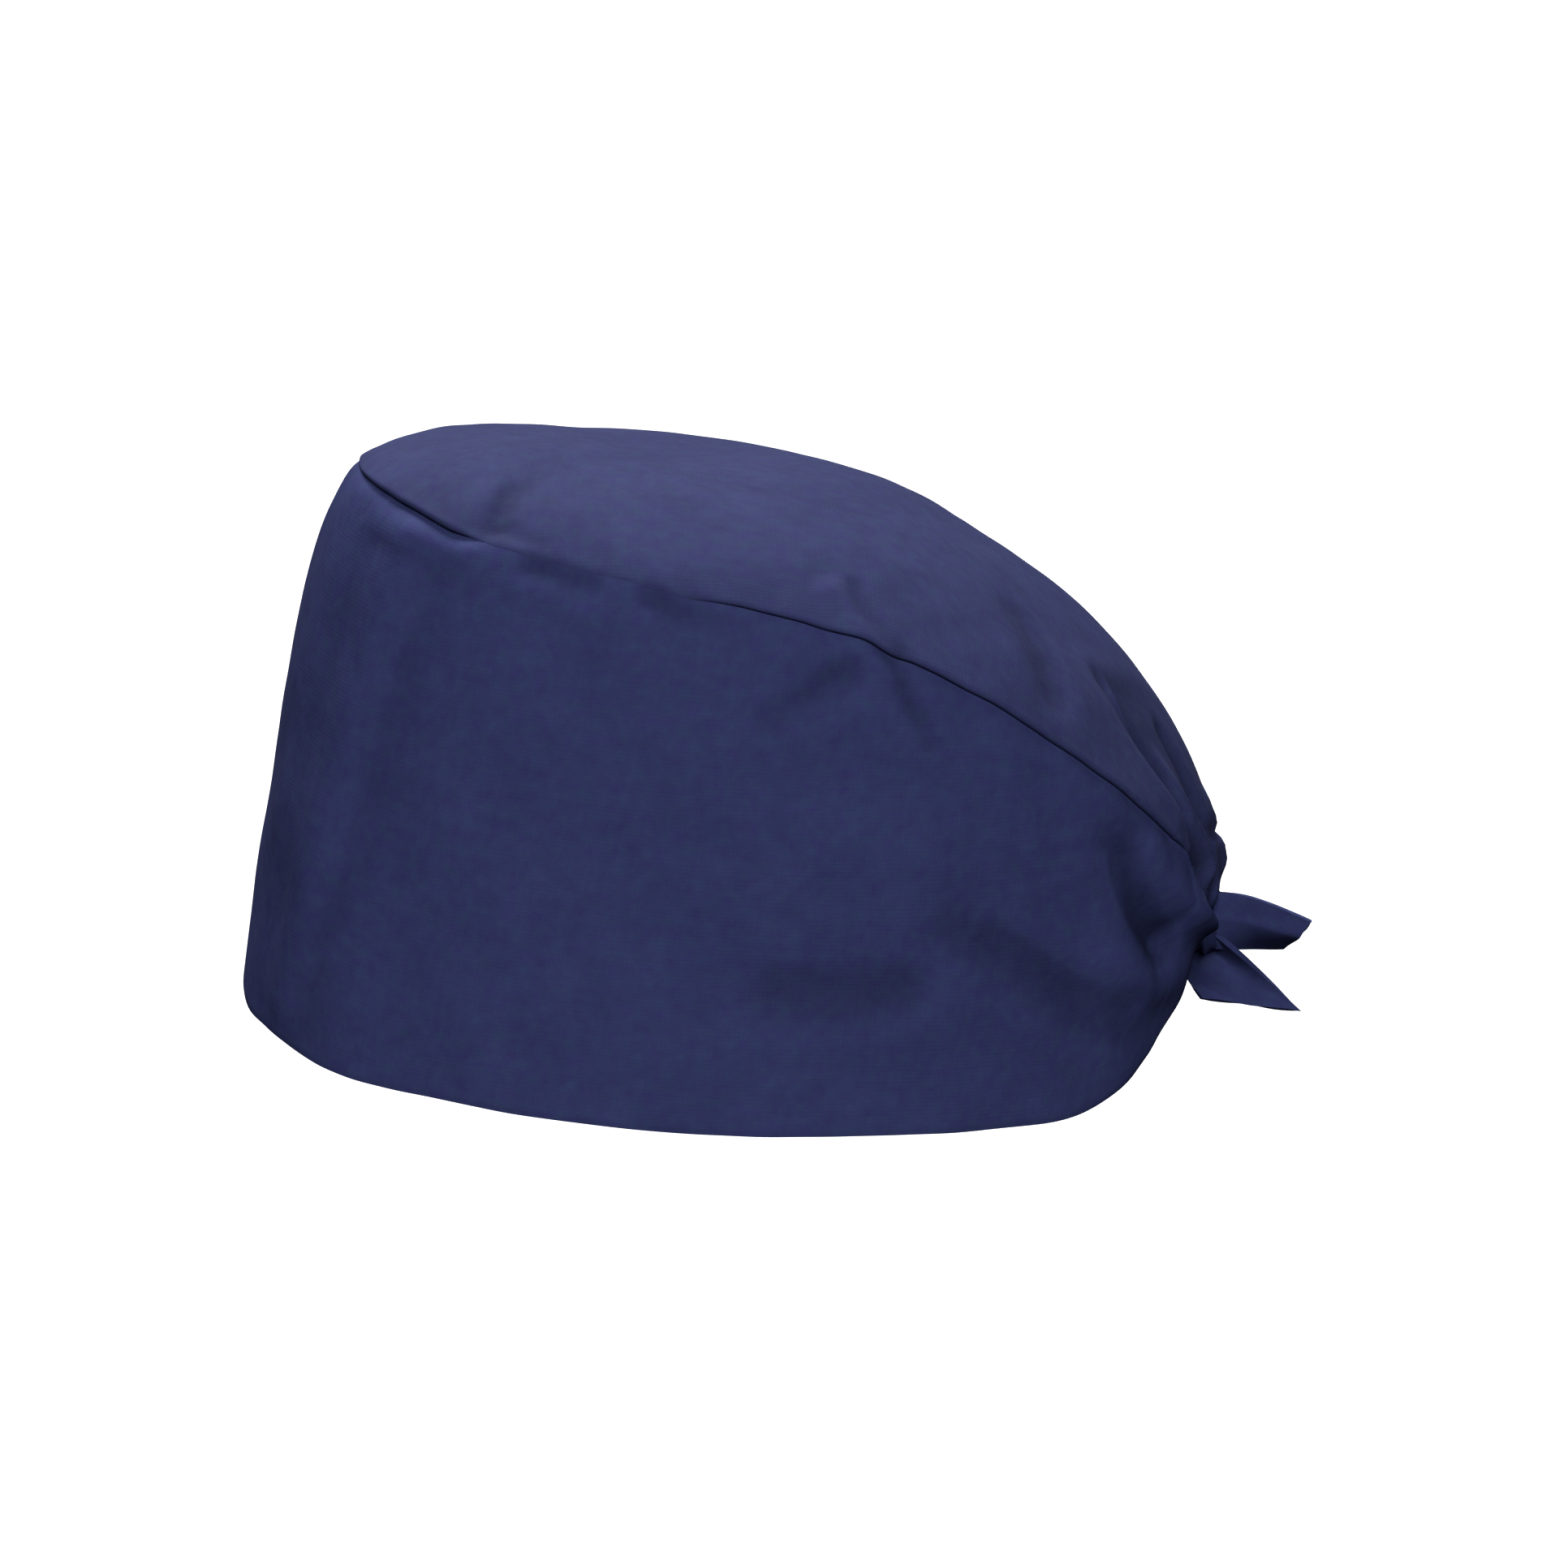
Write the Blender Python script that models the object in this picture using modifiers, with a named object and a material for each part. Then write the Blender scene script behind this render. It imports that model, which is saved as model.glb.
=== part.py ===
# Tie-back scrub cap, as it stands on a head: a crown panel sewn to one long side band,
# whose two ends narrow into a knot at the nape with two short tails.
# Metres, +Z up. The brow faces -Y, the knot +Y, and the wearer's left is +X.
# The origin is the middle of the head opening, level with the lowest point of its rim.
import math
from collections import namedtuple

import bmesh
import bpy
import numpy as np
from mathutils import Vector

# Sizes of the cap
RIM_LENGTH = 0.2195      # brow to nape round the head opening
RIM_WIDTH = 0.166        # ear to ear at the head opening
SEAM_LENGTH = 0.195      # brow to nape along the crown seam
SEAM_WIDTH = 0.148       # side to side across the crown seam
SEAM_SETBACK = 0.0293    # how far the seam lies behind the rim at the brow
CAP_HEIGHT = 0.144       # lowest point of the rim to the top of the crown
CLOTH = 0.0012           # one wall of doubled poplin
CLEARANCE = 0.0003       # what sewn pieces keep from each other
SEAM_LAP = 0.0035        # how far the crown hangs over the top of the band

# Sizes of the folds
FOLD_WIDTH = 0.010       # half the width of a broad fold
FOLD_DEPTH = 0.005       # depth of the deepest fold

# Sizes of the knot and its tails
KNOT_WIDTH = 0.018
KNOT_HEIGHT = 0.0135
KNOT_DEPTH = 0.0105
KNOT_FLANK = 0.80        # girth of the knot's flanks, as a share of its middle
KNOT_WRAP = 0.8          # length of the wrap round its middle, as a share of the knot's width
KNOT_ROUND = 3.5         # how far the long corners of the knot are drawn in
TIE_WALL = 0.0016        # the tie is folded cloth, thicker than the cap
TAIL_REACH = 0.018       # from the knot to the tip of the longer tail
TAIL_DROP = 0.0125       # from the foot of the knot to the top of the upper tail
TAIL_HANG = 1.6          # above 1, the curl of a tail lies nearer its lower edge

# Plan shape of the rim and the seam: 2 is an ellipse, more is squarer
RIM_FULLNESS = 2.2
SEAM_FULLNESS = 2.1

# Middle of the crown
CENTRE_PLACE = 0.475     # share of the seam's length behind its front
CENTRE_HEIGHT = 0.934    # share of the cap's height
CENTRE_SLOPE = -0.165    # rise per length towards the nape

BELLY = 0.50             # reach of the band's lower curve, as a share of its height
FOLD_SHOULDER = 1.0      # how strongly the cloth swells beside a fold

# Colours of the cloth, linear red, green and blue
CROWN_NAVY = (0.045, 0.050, 0.135)
BAND_NAVY = (0.030, 0.035, 0.100)
TIE_NAVY = (0.026, 0.031, 0.088)
CLOTH_ROUGHNESS = 0.85

# Fineness of the meshes
BAND_ROWS = 10
CROWN_ROWS = 12
NAPE_COLUMNS = 4
FOLD_STEPS = 8
KNOT_STEPS = 2
MERGE = 0.00001
NUDGE = 0.002            # step in turn and level that finds the way out of the cloth

# Columns of the mesh on each side, closer together where the cloth is gathered. Each zone
# starts at a turn in degrees from the brow and ends at the next one, the last at the knot.
Zone = namedtuple("Zone", "start columns")
ZONES = (
    Zone(0, 17),
    Zone(90, 8),
    Zone(112, 5),
    Zone(130, 16),
)

# One row each 15 degrees from the brow to the knot, the same on both sides.
# rim and seam: heights as shares of the cap's. lean_low and lean_high: degrees that the band
# leans in at the rim and at the seam. shoulder: reach of the upper curve, a share of the band's
# height. rise: degrees above level where the crown leaves the seam. reach and crest: how far the
# crown holds that rise, and how far its middle stays level, as shares of its span.
Station = namedtuple("Station", "rim seam lean_low lean_high shoulder rise reach crest")
STATIONS = (
    Station(0.112, 0.943, 7.5, 51, 0.09, 27, 0.15, 0.52),
    Station(0.096, 0.940, 7.5, 50, 0.09, 29, 0.15, 0.52),
    Station(0.077, 0.922, 7, 46, 0.10, 35, 0.18, 0.53),
    Station(0.056, 0.882, 6, 39, 0.11, 39, 0.21, 0.50),
    Station(0.045, 0.857, 4, 32, 0.12, 42, 0.24, 0.48),
    Station(0.028, 0.822, 3, 28, 0.13, 45, 0.26, 0.46),
    Station(0.013, 0.783, 2, 26, 0.14, 48, 0.28, 0.46),
    Station(0.005, 0.707, 1, 26, 0.15, 51, 0.30, 0.47),
    Station(0.000, 0.608, 0, 25, 0.16, 55, 0.31, 0.49),
    Station(0.003, 0.493, -2, 22, 0.18, 61, 0.31, 0.52),
    Station(0.060, 0.375, -5, 16, 0.20, 68, 0.30, 0.57),
    Station(0.155, 0.290, -6, 10, 0.20, 78, 0.28, 0.60),
    Station(0.162, 0.262, -4, 6, 0.20, 86, 0.27, 0.61),
)
TURN_STEP = math.pi / (len(STATIONS) - 1)

# Folds of the cloth. Each runs on a bow through three places, given by their turn in degrees
# from the brow, plus on the wearer's left, and their level: 0 the rim, 1 the seam, 2 the middle
# of the crown. width and the depths at its two ends are shares of FOLD_WIDTH and FOLD_DEPTH, and
# a depth below 0 is a hollow.
Fold = namedtuple("Fold", "turn_a level_a turn_b level_b turn_c level_c width deep_a deep_c")
FOLDS = (
    # gathers of the crown into the knot
    Fold(150, 1.34, 152, 1.16, 163, 1.02, 0.48, -0.30, -0.90),
    Fold(167, 1.30, 168, 1.14, 171, 1.02, 0.36, -0.20, -0.65),
    Fold(-149, 1.36, -152, 1.18, -161, 1.02, 0.50, -0.30, -0.85),
    Fold(-166, 1.26, -168, 1.12, -171, 1.02, 0.38, -0.20, -0.60),
    Fold(158, 1.22, 160, 1.12, 167, 1.04, 0.40, 0.10, 0.45),
    Fold(-157, 1.22, -160, 1.12, -167, 1.04, 0.40, 0.10, 0.40),
    Fold(176, 1.16, 178, 1.10, 180, 1.05, 0.50, 0.20, 0.60),
    # scoops of the band beside the knot
    Fold(134, 0.72, 137, 0.50, 154, 0.36, 0.62, -0.35, -1.00),
    Fold(142, 0.80, 150, 0.66, 164, 0.60, 0.55, 0.20, 0.45),
    Fold(-136, 0.72, -139, 0.52, -155, 0.38, 0.60, -0.30, -0.90),
    Fold(-143, 0.82, -151, 0.66, -164, 0.60, 0.55, 0.20, 0.45),
    # long soft folds low on the band towards the nape
    Fold(112, 0.36, 127, 0.27, 149, 0.13, 0.85, -0.15, -0.38),
    Fold(-108, 0.30, -126, 0.25, -148, 0.14, 0.85, -0.12, -0.36),
    Fold(94, 0.20, 100, 0.21, 107, 0.23, 0.90, -0.20, -0.20),
    # pleats that cross the seam at the ears
    Fold(98, 1.19, 101, 0.99, 107, 0.75, 0.30, -0.42, -0.12),
    Fold(95, 1.14, 97, 1.02, 99, 0.92, 0.45, 0.22, 0.12),
    Fold(-93, 1.16, -95, 0.99, -99, 0.80, 0.32, -0.38, -0.12),
    Fold(89, 0.68, 93, 0.78, 97, 0.88, 0.50, -0.12, -0.25),
    # creases under the crown's front corners
    Fold(48, 0.97, 41, 0.92, 36, 0.80, 0.50, -0.25, -0.18),
    Fold(-50, 0.97, -43, 0.91, -38, 0.80, 0.50, -0.22, -0.16),
    Fold(61, 0.99, 62, 0.95, 64, 0.90, 0.55, -0.24, -0.10),
    Fold(74, 0.97, 76, 0.92, 79, 0.87, 0.55, -0.22, -0.10),
    Fold(-70, 0.98, -71, 0.93, -73, 0.87, 0.55, -0.22, -0.10),
    # dents of the crown
    Fold(44, 1.32, 46, 1.20, 48, 1.08, 0.50, -0.24, -0.20),
    Fold(-58, 1.30, -60, 1.20, -61, 1.08, 0.55, -0.20, -0.18),
    Fold(134, 1.40, 131, 1.28, 128, 1.16, 0.75, -0.18, -0.22),
    Fold(-128, 1.42, -127, 1.28, -125, 1.14, 0.75, -0.18, -0.22),
)

# Sections of the tails from the knot to the cut end, seen from the side. reach is a share of
# TAIL_REACH behind the knot, high a share of TAIL_DROP above the foot of the knot, for the
# upper edge and the lower edge. aside is how far the section stands to the wearer's left, and
# curl how far its lower half swings out, both as shares of the knot's width.
Section = namedtuple("Section", "reach_top high_top reach_low high_low aside curl")
UPPER_TAIL = (
    Section(0.01, 1.06, 0.01, 0.16, 0.02, 0.10),
    Section(0.33, 0.94, 0.24, 0.13, 0.08, 0.17),
    Section(0.67, 0.78, 0.46, 0.12, 0.15, 0.18),
    Section(0.96, 0.62, 0.62, 0.11, 0.22, 0.13),
)
LOWER_TAIL = (
    Section(-0.10, 0.05, -0.60, -0.12, -0.04, 0.02),
    Section(0.24, -0.34, -0.52, -0.45, -0.08, 0.06),
    Section(0.56, -0.70, -0.44, -0.74, -0.13, 0.08),
    Section(0.86, -1.06, -0.36, -0.97, -0.18, 0.04),
)
TAIL_STEPS_ALONG = 8
TAIL_STEPS_ACROSS = 6

Column = namedtuple("Column", "rim low high seam start end centre")


def through(rows, place):
    """A smooth reading between rows of a table at a place counted in rows, level at both ends"""
    last = len(rows) - 1
    place = min(max(place, 0), last)
    row = min(int(place), last - 1)
    t = place - row
    before = rows[abs(row - 1)]
    after = rows[last - abs(last - row - 2)]
    return type(rows[0])(*(
        0.5 * (2 * b + (c - a) * t + (2 * a - 5 * b + 4 * c - d) * t ** 2
               + (3 * b - a - 3 * c + d) * t ** 3)
        for a, b, c, d in zip(before, rows[row], rows[row + 1], after)
    ))


def oval(turn, length, width, front, fullness):
    """A point on a plan oval that starts at the brow, and the way in from it"""
    power = 2 / fullness
    steep = fullness - 1
    half_length = length / 2
    half_width = width / 2
    across = math.copysign(abs(math.sin(turn)) ** power, math.sin(turn))
    along = -math.copysign(abs(math.cos(turn)) ** power, math.cos(turn))
    inward = Vector((
        -math.copysign(abs(across) ** steep, across) / half_width,
        -math.copysign(abs(along) ** steep, along) / half_length,
        0,
    ))
    return half_width * across, front + half_length * (1 + along), inward.normalized()


def column(turn):
    """Control points of the band's curve and the crown's curve at one turn"""
    row = through(STATIONS, abs(turn) / TURN_STEP)
    rim_front = -RIM_LENGTH / 2
    seam_front = rim_front + SEAM_SETBACK
    x, y, rim_in = oval(turn, RIM_LENGTH, RIM_WIDTH, rim_front, RIM_FULLNESS)
    rim = Vector((x, y, row.rim * CAP_HEIGHT))
    x, y, seam_in = oval(turn, SEAM_LENGTH, SEAM_WIDTH, seam_front, SEAM_FULLNESS)
    seam = Vector((x, y, row.seam * CAP_HEIGHT))
    side = seam - rim
    side -= rim_in * side.dot(rim_in)
    low = rim + side * BELLY
    low += rim_in * side.length * BELLY * math.tan(math.radians(row.lean_low))
    high = seam - side * row.shoulder
    high -= seam_in * side.length * row.shoulder * math.tan(math.radians(row.lean_high))
    centre = Vector((0, seam_front + CENTRE_PLACE * SEAM_LENGTH, CENTRE_HEIGHT * CAP_HEIGHT))
    span = centre - seam
    level = Vector((span.x, span.y, 0))
    rise = math.radians(row.rise)
    climb = level.normalized() * math.cos(rise) + Vector((0, 0, math.sin(rise)))
    start = seam + climb * span.length * row.reach
    crest = -level * row.crest
    end = centre + crest + Vector((0, 0, CENTRE_SLOPE * crest.y))
    return Column(rim, low, high, seam, start, end, centre)


def cubic(a, b, c, d, t):
    """A point on a cubic curve by its control points"""
    s = 1 - t
    return a * s ** 3 + b * (3 * s * s * t) + c * (3 * s * t * t) + d * t ** 3


def plain_point(turn, level):
    """A point of the cap's plain form: level 0 is the rim, 1 the seam, 2 the crown's middle"""
    col = column(turn)
    if level <= 1:
        return cubic(col.rim, col.low, col.high, col.seam, level)
    return cubic(col.seam, col.start, col.end, col.centre, level - 1)


def way_out(turn, level):
    """The direction straight out of the plain form"""
    if level > 2 - NUDGE:
        return Vector((0, -CENTRE_SLOPE, 1)).normalized()
    around = plain_point(turn + NUDGE, level) - plain_point(turn - NUDGE, level)
    up = plain_point(turn, level + NUDGE) - plain_point(turn, max(level - NUDGE, 0))
    return around.cross(up).normalized()


def fold_path(fold):
    """Points along a fold on the plain form"""
    path = []
    for step in range(FOLD_STEPS + 1):
        t = step / FOLD_STEPS
        s = 1 - t
        turn = fold.turn_a * s * (s - t) + fold.turn_b * 4 * s * t + fold.turn_c * t * (t - s)
        level = fold.level_a * s * (s - t) + fold.level_b * 4 * s * t + fold.level_c * t * (t - s)
        path.append(plain_point(math.radians(turn), level))
    return np.array(path)


def fold_depth(points, fold):
    """How far one fold moves each point out of the cloth"""
    path = fold_path(fold)
    nearest = np.full(len(points), np.inf)
    along = np.zeros(len(points))
    for step in range(FOLD_STEPS):
        start = path[step]
        run = path[step + 1] - start
        share = np.clip((points - start) @ run / (run @ run), 0, 1)
        far = np.linalg.norm(points - start - share[:, None] * run, axis=1)
        along = np.where(far < nearest, (step + share) / FOLD_STEPS, along)
        nearest = np.minimum(far, nearest)
    spread = (nearest / (fold.width * FOLD_WIDTH)) ** 2
    depth = fold.deep_a + (fold.deep_c - fold.deep_a) * along
    return FOLD_DEPTH * depth * np.exp(-spread) * (1 - FOLD_SHOULDER * spread)


def cloth_grid(turns, levels, gap):
    """Rows of folded points for each turn, a gap outside the plain form. levels gives a list
    of levels for a turn"""
    places = [[(turn, level) for level in levels(turn)] for turn in turns]
    flat = [place for line in places for place in line]
    points = np.array([plain_point(*place) for place in flat])
    out = np.array([way_out(*place) for place in flat])
    depth = sum(fold_depth(points, fold) for fold in FOLDS)
    points += out * (depth + gap)[:, None]
    return points.reshape(len(places), -1, 3)


def end_turn():
    """Turn at which the band ends beside the knot"""
    reach = (KNOT_WIDTH / 2 + CLEARANCE) / (SEAM_WIDTH / 2)
    return math.pi - math.asin(reach ** (SEAM_FULLNESS / 2))


def column_turns():
    """Turns of the mesh columns from one end of the band round the brow to the other"""
    starts = [math.radians(zone.start) for zone in ZONES]
    side = [0.0]
    for zone, start, stop in zip(ZONES, starts, starts[1:] + [end_turn()]):
        step = (stop - start) / zone.columns
        side += [start + step * (i + 1) for i in range(zone.columns)]
    return [-turn for turn in reversed(side[1:])] + side


def lap_level(turn):
    """Level of the crown's hem, which hangs over the top of the band"""
    col = column(turn)
    return 1 - SEAM_LAP / (col.seam - col.rim).length


def band_levels(turn):
    """Levels of the band's rows: the upper two bound the stretch under the crown's hem"""
    lap = lap_level(turn)
    return [lap * row / BAND_ROWS for row in range(BAND_ROWS + 1)] + [1]


def crown_levels(turn):
    """Levels of the crown's rows, from its hem to its middle"""
    return [lap_level(turn)] + [1 + row / CROWN_ROWS for row in range(CROWN_ROWS + 1)]


def clear_scene():
    for item in list(bpy.data.objects):
        bpy.data.objects.remove(item)


def cloth_material(name, colour):
    material = bpy.data.materials.new(name)
    material.use_nodes = True
    shader = material.node_tree.nodes["Principled BSDF"]
    shader.inputs["Base Color"].default_value = (*colour, 1)
    shader.inputs["Roughness"].default_value = CLOTH_ROUGHNESS
    shader.inputs["Metallic"].default_value = 0
    return material


def add_piece(name, shape, material, collection):
    """An object from a bmesh, which is used up"""
    mesh = bpy.data.meshes.new(name)
    shape.to_mesh(mesh)
    shape.free()
    mesh.shade_smooth()
    mesh.materials.append(material)
    piece = bpy.data.objects.new(name, mesh)
    collection.objects.link(piece)
    return piece


def add_cloth(name, grid, wall, offset, material, collection):
    """A sheet through a grid of points. offset is 1 for a wall outside them, -1 for one inside
    and 0 for one on both sides"""
    columns = len(grid) - 1
    rows = len(grid[0]) - 1
    shape = bmesh.new()
    bmesh.ops.create_grid(shape, x_segments=columns, y_segments=rows, size=0.5)
    for vert in shape.verts:
        i = round((vert.co.x + 0.5) * columns)
        j = round((vert.co.y + 0.5) * rows)
        vert.co = grid[i][j]
    bmesh.ops.remove_doubles(shape, verts=shape.verts, dist=MERGE)
    cloth = add_piece(name, shape, material, collection)
    shell = cloth.modifiers.new("Wall", "SOLIDIFY")
    shell.thickness = wall
    shell.offset = offset
    return cloth


def add_band(material, collection):
    grid = cloth_grid(column_turns(), band_levels, 0)
    add_cloth("side_band", grid, CLOTH, -1, material, collection)


def add_crown(material, collection):
    turns = column_turns()
    nape = 2 * (math.pi - turns[-1])
    behind = [turns[-1] + nape * (i + 1) / NAPE_COLUMNS for i in range(NAPE_COLUMNS)]
    turns += [turn if turn <= math.pi else turn - 2 * math.pi for turn in behind]
    grid = cloth_grid(turns, crown_levels, CLEARANCE)
    add_cloth("crown_panel", grid, CLOTH, 1, material, collection)


def knot_middle():
    """The knot hangs just under the crown's hem, between the ends of the band"""
    hem = plain_point(math.pi, lap_level(math.pi))
    return Vector((0, hem.y, hem.z - CLEARANCE - KNOT_HEIGHT / 2))


def add_knot(material, collection):
    """A lump with a wrap round its middle, proud of the two flanks that meet the band"""
    shape = bmesh.new()
    bmesh.ops.create_cube(shape, size=1)
    bmesh.ops.subdivide_edges(shape, edges=shape.edges, cuts=KNOT_STEPS, use_grid_fill=True)
    middle = knot_middle()
    rim_end = plain_point(end_turn(), 0)
    seam_end = plain_point(end_turn(), 1)
    for vert in shape.verts:
        along, deep, high = vert.co
        girth = KNOT_FLANK if abs(along) > KNOT_WRAP / 2 else 1
        corner = 1 - KNOT_ROUND * deep * deep * high * high
        z = middle.z + KNOT_HEIGHT * high * girth * corner
        half = rim_end.x + (seam_end.x - rim_end.x) * (z - rim_end.z) / (seam_end.z - rim_end.z)
        y = middle.y + KNOT_DEPTH * deep * girth * corner
        vert.co = ((half - CLEARANCE) * 2 * along, y, z)
    knot = add_piece("tie_knot", shape, material, collection)
    smooth = knot.modifiers.new("Soft", "SUBSURF")
    smooth.levels = 1
    smooth.render_levels = smooth.levels


def add_tail(name, sections, material, collection):
    """A strip of tie that leaves the knot and ends in a slanting cut"""
    middle = knot_middle()
    back = middle.y + KNOT_DEPTH / 2 + CLEARANCE
    foot = middle.z - KNOT_HEIGHT / 2
    grid = []
    for i in range(TAIL_STEPS_ALONG + 1):
        place = i / TAIL_STEPS_ALONG * (len(sections) - 1)
        section = through(sections, place)
        top = Vector((section.aside * KNOT_WIDTH, back + section.reach_top * TAIL_REACH,
                      foot + section.high_top * TAIL_DROP))
        low = Vector((section.aside * KNOT_WIDTH, back + section.reach_low * TAIL_REACH,
                      foot + section.high_low * TAIL_DROP))
        line = []
        for j in range(TAIL_STEPS_ACROSS + 1):
            t = j / TAIL_STEPS_ACROSS
            swing = section.curl * KNOT_WIDTH * math.sin(math.pi * t ** TAIL_HANG)
            line.append(top.lerp(low, t) + Vector((swing, 0, 0)))
        grid.append(line)
    add_cloth(name, grid, TIE_WALL, 0, material, collection)


def main():
    clear_scene()
    collection = bpy.data.collections.new("scrub_cap")
    bpy.context.scene.collection.children.link(collection)
    band_navy = cloth_material("band_poplin", BAND_NAVY)
    crown_navy = cloth_material("crown_poplin", CROWN_NAVY)
    tie_navy = cloth_material("tie_poplin", TIE_NAVY)
    add_band(band_navy, collection)
    add_crown(crown_navy, collection)
    add_knot(tie_navy, collection)
    add_tail("tie_tail_upper", UPPER_TAIL, tie_navy, collection)
    add_tail("tie_tail_lower", LOWER_TAIL, tie_navy, collection)


main()
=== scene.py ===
import math
from collections import namedtuple

import bpy
import numpy as np
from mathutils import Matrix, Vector


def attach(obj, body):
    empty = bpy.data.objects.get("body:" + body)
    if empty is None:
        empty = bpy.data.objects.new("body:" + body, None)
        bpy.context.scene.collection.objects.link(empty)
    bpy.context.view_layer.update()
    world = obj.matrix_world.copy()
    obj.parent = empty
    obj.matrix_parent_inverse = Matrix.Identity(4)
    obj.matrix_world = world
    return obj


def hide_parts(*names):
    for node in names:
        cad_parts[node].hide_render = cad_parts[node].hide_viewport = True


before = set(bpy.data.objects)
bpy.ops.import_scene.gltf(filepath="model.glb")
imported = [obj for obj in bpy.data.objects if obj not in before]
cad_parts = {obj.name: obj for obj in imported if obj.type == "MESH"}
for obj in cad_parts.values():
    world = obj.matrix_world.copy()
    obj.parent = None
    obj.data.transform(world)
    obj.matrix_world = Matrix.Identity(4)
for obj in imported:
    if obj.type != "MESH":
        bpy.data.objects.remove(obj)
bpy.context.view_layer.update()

# Sizes of the cap, in metres, as the CAD model has them
RIM_LENGTH = 0.2195
RIM_WIDTH = 0.166
SEAM_LENGTH = 0.195
SEAM_WIDTH = 0.148
SEAM_SETBACK = 0.0293
CAP_HEIGHT = 0.144
CLOTH = 0.0012
CLEARANCE = 0.0003
SEAM_LAP = 0.0035
FOLD_WIDTH = 0.010
FOLD_DEPTH = 0.005
KNOT_WIDTH = 0.018
KNOT_HEIGHT = 0.0135
KNOT_DEPTH = 0.0105
TAIL_REACH = 0.018
TAIL_DROP = 0.0125

# Shares and exponents of its plain form, as the CAD model has them too
RIM_FULLNESS = 2.2
SEAM_FULLNESS = 2.1
CENTRE_PLACE = 0.475
CENTRE_HEIGHT = 0.934
CENTRE_SLOPE = -0.165
BELLY = 0.50

# Sizes of the sewn cloth, in metres
POPLIN = 0.0008          # one wall with its facing
TAPE = 0.0013            # wall of the tie's tails, which are folded double
CROWN_PROUD = CLEARANCE + CLOTH
SEAM_STEP = 0.0010       # how far the crown stands out at the seam
BAND_STEP = 0.00055      # how far the band stands out at the seam, under the crown's edge
CRISP_STEP = 0.00005     # how much further it does where the seam is crisp
LIP = 0.0009             # radius of the crown's rolled edge over the seam
LIP_DROP = 0.0007        # how far that edge hangs below the seam
LIP_SWELL = 0.0003       # how far the crown swells over a crisp seam
SEAM_TUCK = 0.0011       # how deep the band dips under the crown's edge
SEAM_EASE = 0.0023       # reach of that dip down the band
SOFT_REACH = 0.012       # reach of the slopes beside the seam
SEAM_ROUND = 0.0007      # how far the cloth rounds off where the seam lies flat
ROUND_REACH = 0.005      # reach of that rounding, and of the swell over a crisp seam
FLAT_SINK = 0.0003       # how much lower the crown lies where the seam lies flat
SLIP_BEND = 0.003        # how gently the crown bends in under the band there: less is sharper
HEM_TURN = 0.0003        # how far the rim's hem rolls in
HEM_REACH = 0.0007       # reach of that roll
TOP_TURN = 0.0010        # how far the band's top edge turns in under the crown
FLAT_TUCK = 0.02         # share of the band's dip that stays where the seam lies flat
FLAT_DROP = 0.1          # share of the drop of the crown's edge that stays there
FLAT_LIP = 0.25          # share of that edge's radius that stays there
END_SIZE = (0.15, 0, 0.55)  # width, depth and height of the band's ends inside the knot, as shares
MERGE = 0.00001          # points nearer than this are joined
NUDGE = 0.002            # step in turn or level by which slopes are measured

# Band and crown from the brow to the knot, one row each 15 degrees
Station = namedtuple("Station", "rim seam lean_low lean_high shoulder rise reach crest")
STATIONS = (
    Station(0.112, 0.943, 7.5, 51, 0.09, 27, 0.15, 0.52),
    Station(0.096, 0.940, 7.5, 50, 0.09, 29, 0.15, 0.52),
    Station(0.077, 0.922, 7, 46, 0.10, 35, 0.18, 0.53),
    Station(0.056, 0.882, 6, 39, 0.11, 39, 0.21, 0.50),
    Station(0.045, 0.857, 4, 32, 0.12, 42, 0.24, 0.48),
    Station(0.028, 0.822, 3, 28, 0.13, 45, 0.26, 0.46),
    Station(0.013, 0.783, 2, 26, 0.14, 48, 0.28, 0.46),
    Station(0.005, 0.707, 1, 26, 0.15, 51, 0.30, 0.47),
    Station(0.000, 0.608, 0, 25, 0.16, 55, 0.31, 0.49),
    Station(0.003, 0.493, -2, 22, 0.18, 61, 0.31, 0.52),
    Station(0.060, 0.375, -5, 16, 0.20, 68, 0.30, 0.57),
    Station(0.155, 0.290, -6, 10, 0.20, 78, 0.28, 0.60),
    Station(0.162, 0.262, -4, 6, 0.20, 86, 0.27, 0.61),
)
TURN_STEP = math.pi / (len(STATIONS) - 1)

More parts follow.
